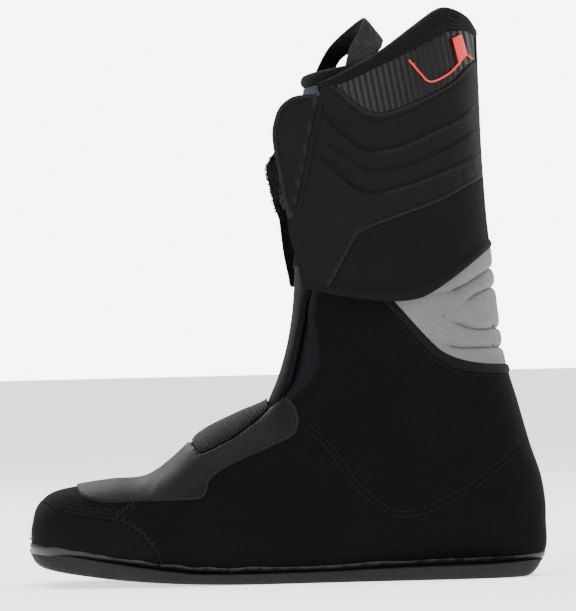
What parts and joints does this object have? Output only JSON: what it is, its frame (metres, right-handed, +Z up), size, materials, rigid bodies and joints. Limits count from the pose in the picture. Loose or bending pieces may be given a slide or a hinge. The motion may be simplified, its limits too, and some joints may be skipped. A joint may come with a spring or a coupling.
{
  "type": "ski boot liner",
  "caption": "Padded inner boot of an alpine ski boot with a hinged cuff, a fold-forward tongue and closing flaps.",
  "frame": {"origin": "middle of the outsole's flat, on the surface that the boot stands on", "axes": "+Z up the leg, the toe points along -Y and the heel along +Y, +X is the outer side of a left foot"},
  "size_m": [0.1066, 0.2846, 0.311],
  "materials": {
    "neoprene": "matt black neoprene cloth",
    "mesh": "black spacer mesh",
    "polyurethane": "dark grey coated overlay with a satin grain",
    "twill": "embossed charcoal weave",
    "knit": "black knit",
    "carbon": "ribbed panel, dark grey",
    "binding": "black edge tape",
    "sole": "dark grey textured sole",
    "glue": "dark grey rand",
    "foam": "grey padding foam",
    "grey_foam": "light grey moulded foam with grooves",
    "fleece": "dark brushed lining",
    "plastic": "dark stiffener board",
    "red": "bright red trim",
    "tongue_cloth": "blue-grey tongue cloth",
    "gusset": "blue-black stretch cloth",
    "webbing": "black woven webbing",
    "hook": "black hook tape"
  },
  "bodies": {
    "lower": {"outsole": "sole", "lasting_board": "plastic", "footbed": "foam", "sole_rand": "glue", "toe_box": "neoprene", "vamp_mesh": "mesh", "quarter_lateral": "neoprene", "quarter_medial": "neoprene", "vamp_overlay": "polyurethane", "instep_gore": "knit", "throat_binding_lateral": "binding", "throat_binding_medial": "binding", "lower_collar_binding": "binding", "forefoot_padding": "foam", "ankle_padding_lateral": "foam", "ankle_padding_medial": "foam", "heel_counter": "plastic", "heel_padding": "foam", "lower_lining": "fleece", "ankle_pad_lateral": "foam", "ankle_pad_medial": "foam", "achilles_pad": "foam"},
    "cuff": {"achilles_flex_panel": "grey_foam", "cuff_spine": "twill", "cuff_lower_band_lateral": "knit", "cuff_lower_band_medial": "knit", "collar_side_panel_lateral": "carbon", "collar_side_panel_medial": "carbon", "cuff_panel_lateral": "twill", "cuff_panel_medial": "twill", "cuff_hem_binding": "binding", "collar_roll": "mesh", "cuff_padding_lateral": "foam", "cuff_padding_medial": "foam", "spoiler_board": "plastic", "rear_cuff_padding": "foam", "cuff_lining": "fleece", "collar_trim_lateral": "red", "collar_trim_medial": "red", "collar_tab_lateral": "red", "collar_tab_medial": "red"},
    "outer_flap": {"flap_lateral": "twill", "loop_patch": "knit"},
    "inner_flap": {"flap_medial": "twill", "hook_patch": "hook"},
    "tongue": {"tongue_cover": "tongue_cloth", "shin_plate": "plastic", "tongue_padding": "foam", "tongue_lining": "fleece", "tongue_top_roll": "mesh", "tongue_binding_lateral": "binding", "tongue_binding_medial": "binding", "tongue_gusset_lateral": "gusset", "tongue_gusset_medial": "gusset"},
    "loop": {"pull_loop": "webbing"}
  },
  "joints": [
    {"name": "cuff_flex", "type": "hinge", "parent": "lower", "child": "cuff", "pos_m": [0, 0.0673, 0.0846], "axis": [1, 0, 0], "range_deg": [-3, 7], "stiffness_Nm_per_rad": 20, "deforming": ["achilles_flex_panel"]},
    {"name": "outer_flap_fold", "type": "hinge", "parent": "cuff", "child": "outer_flap", "pos_m": [0.05, 0.016, 0.232], "axis": [0, 0, 1], "range_deg": [0, 90], "stiffness_Nm_per_rad": 0.3},
    {"name": "inner_flap_fold", "type": "hinge", "parent": "cuff", "child": "inner_flap", "pos_m": [-0.05, 0.016, 0.232], "axis": [0, 0, 1], "range_deg": [-90, 0], "stiffness_Nm_per_rad": 0.3},
    {"name": "tongue_fold", "type": "hinge", "parent": "lower", "child": "tongue", "pos_m": [0, -0.0083, 0.0994], "axis": [1, 0, 0], "range_deg": [0, 12], "stiffness_Nm_per_rad": 3, "deforming": ["tongue_gusset_lateral", "tongue_gusset_medial"]},
    {"name": "pull_loop_swing", "type": "hinge", "parent": "tongue", "child": "loop", "pos_m": [-0.02, 0.0225, 0.2803], "axis": [0.9511, 0.3055, 0.046], "range_deg": [0, 60], "stiffness_Nm_per_rad": 0.02}
  ]
}
